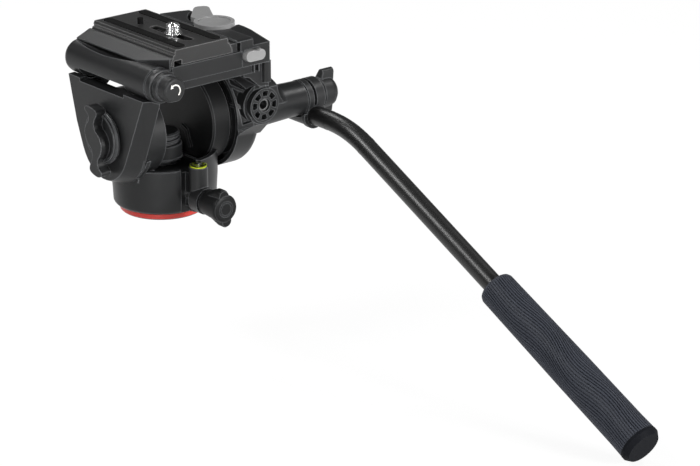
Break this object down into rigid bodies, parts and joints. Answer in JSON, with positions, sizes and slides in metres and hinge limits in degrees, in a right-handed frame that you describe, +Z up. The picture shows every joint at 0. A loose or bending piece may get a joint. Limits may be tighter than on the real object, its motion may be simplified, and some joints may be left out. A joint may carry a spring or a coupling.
{
  "type": "fluid video head",
  "caption": "Fluid video head with sliding camera plate, damped tilt drum, panning base with bubble level, lock knobs and a bent pan bar with rubber grip.",
  "frame": {"origin": "mouth of the tripod thread, in the middle of the underside of the foot", "axes": "+Z up along the pan axis, +X along the tilt axis towards the pan bar, +Y forwards to the lens side"},
  "size_m": [0.1857, 0.433, 0.2354],
  "materials": {
    "black_paint": "fine satin",
    "red": "satin",
    "steel": "turned",
    "nylon": "matte",
    "bronze": "turned",
    "black_plastic": "fine grain",
    "vial": "clear",
    "rubber": "matte",
    "grey_plastic": "satin",
    "plate_metal": "fine satin",
    "chrome": "polished",
    "bar_paint": "semi gloss",
    "grip_rubber": "soft matte"
  },
  "bodies": {
    "base": {"foot_plate": "black_paint", "foot_ring": "red", "thread_insert": "steel", "foot_screws": "steel", "pan_spindle": "steel", "spindle_nut": "steel", "thrust_washer": "nylon"},
    "pan": {"pan_body": "black_paint", "pan_bush": "bronze", "pan_column": "black_plastic", "level_vial": "vial", "level_ring": "black_plastic", "tilt_drum": "black_paint", "drum_cover": "black_paint", "drum_bush": "bronze", "drum_seal": "rubber", "drum_screws": "steel", "stator_discs": "steel", "left_axle": "steel"},
    "pan_brake": {"pan_brake_shoe": "nylon"},
    "pan_lock": {"pan_lock_knob": "black_plastic", "pan_lock_stem": "steel"},
    "tilt_pad": {"tilt_lock_pad": "nylon"},
    "tilt_lock": {"tilt_lock_knob": "black_plastic"},
    "tilt": {"left_arm": "black_paint", "left_bush": "bronze", "right_arm": "black_paint", "bar_mount": "black_paint", "balance_spring": "steel", "spring_cover": "black_paint", "hub_insert": "steel", "platform": "black_paint", "side_bar": "black_paint", "platform_screws": "steel", "clamp_housing": "black_paint", "lever_pivot": "steel", "tilt_rotor": "steel", "right_shaft": "steel", "joint_bolt": "steel", "rosette_ring": "rubber"},
    "slide_lock": {"slide_lock_knob": "black_plastic", "slide_lock_shaft": "steel"},
    "jaw": {"clamp_jaw": "black_paint"},
    "lever": {"clamp_lever": "grey_plastic"},
    "button": {"release_button": "grey_plastic"},
    "plate": {"camera_plate": "plate_metal", "grip_strips": "rubber"},
    "screw_slide": {"screw_carrier": "chrome"},
    "screw": {"camera_screw": "chrome"},
    "pin": {"index_pin": "rubber"},
    "bar": {"bar_clamp": "black_plastic", "pan_bar": "bar_paint", "bar_grip": "grip_rubber", "grip_cap": "black_plastic"},
    "wing": {"wing_knob": "black_plastic"}
  },
  "joints": [
    {"name": "pan", "type": "hinge", "parent": "base", "child": "pan", "pos_m": [0, 0, 0.02], "axis": [0, 0, 1], "continuous": true},
    {"name": "pan_lock_turn", "type": "hinge", "parent": "pan", "child": "pan_lock", "pos_m": [0, -0.06, 0.0176], "axis": [0, -1, 0], "range_deg": [0, 150]},
    {"name": "pan_brake_slide", "type": "slide", "parent": "pan", "child": "pan_brake", "axis": [0, 1, 0], "range_m": [0, 0.0003]},
    {"name": "tilt", "type": "hinge", "parent": "pan", "child": "tilt", "pos_m": [0, 0, 0.062], "axis": [1, 0, 0], "range_deg": [-80, 60]},
    {"name": "tilt_lock_turn", "type": "hinge", "parent": "pan", "child": "tilt_lock", "pos_m": [-0.05, 0, 0.062], "axis": [1, 0, 0], "range_deg": [-60, 60]},
    {"name": "tilt_pad_slide", "type": "slide", "parent": "pan", "child": "tilt_pad", "axis": [1, 0, 0], "range_m": [-0.0002, 0.0002]},
    {"name": "slide_lock_turn", "type": "hinge", "parent": "tilt", "child": "slide_lock", "pos_m": [-0.035, -0.055, 0.1074], "axis": [0, -1, 0], "range_deg": [0, 90]},
    {"name": "lever_turn", "type": "hinge", "parent": "tilt", "child": "lever", "pos_m": [0.043, -0.007, 0.124], "axis": [0, 0, 1], "range_deg": [-70, 0]},
    {"name": "jaw_slide", "type": "slide", "parent": "tilt", "child": "jaw", "axis": [1, 0, 0], "range_m": [0, 0.0012]},
    {"name": "button_push", "type": "slide", "parent": "tilt", "child": "button", "axis": [0, 1, 0], "range_m": [0, 0.0035], "stiffness_N_per_m": 500, "springref_m": -0.001},
    {"name": "plate_slide", "type": "slide", "parent": "tilt", "child": "plate", "axis": [0, 1, 0], "range_m": [-0.025, 0.025]},
    {"name": "screw_shift", "type": "slide", "parent": "plate", "child": "screw_slide", "axis": [0, 1, 0], "range_m": [-0.016, 0.02]},
    {"name": "screw_turn", "type": "hinge", "parent": "screw_slide", "child": "screw", "pos_m": [0, -0.0168, 0.13], "axis": [0, 0, 1], "continuous": true},
    {"name": "pin_push", "type": "slide", "parent": "plate", "child": "pin", "axis": [0, 0, -1], "range_m": [0, 0.0035], "stiffness_N_per_m": 400, "springref_m": -0.001},
    {"name": "bar_swing", "type": "hinge", "parent": "tilt", "child": "bar", "pos_m": [0.0964, -0.033, 0.0685], "axis": [1, 0, 0], "range_deg": [-90, 60]},
    {"name": "wing_turn", "type": "hinge", "parent": "tilt", "child": "wing", "pos_m": [0.118, -0.033, 0.0685], "axis": [1, 0, 0], "continuous": true}
  ],
  "couplings": [
    {"joint": "pan_brake_slide", "follows": "pan_lock_turn", "m_per_rad": 0.00011459},
    {"joint": "tilt_pad_slide", "follows": "tilt_lock_turn", "m_per_rad": 0.00019099},
    {"joint": "jaw_slide", "follows": "lever_turn", "m_per_rad": -0.00098221}
  ]
}
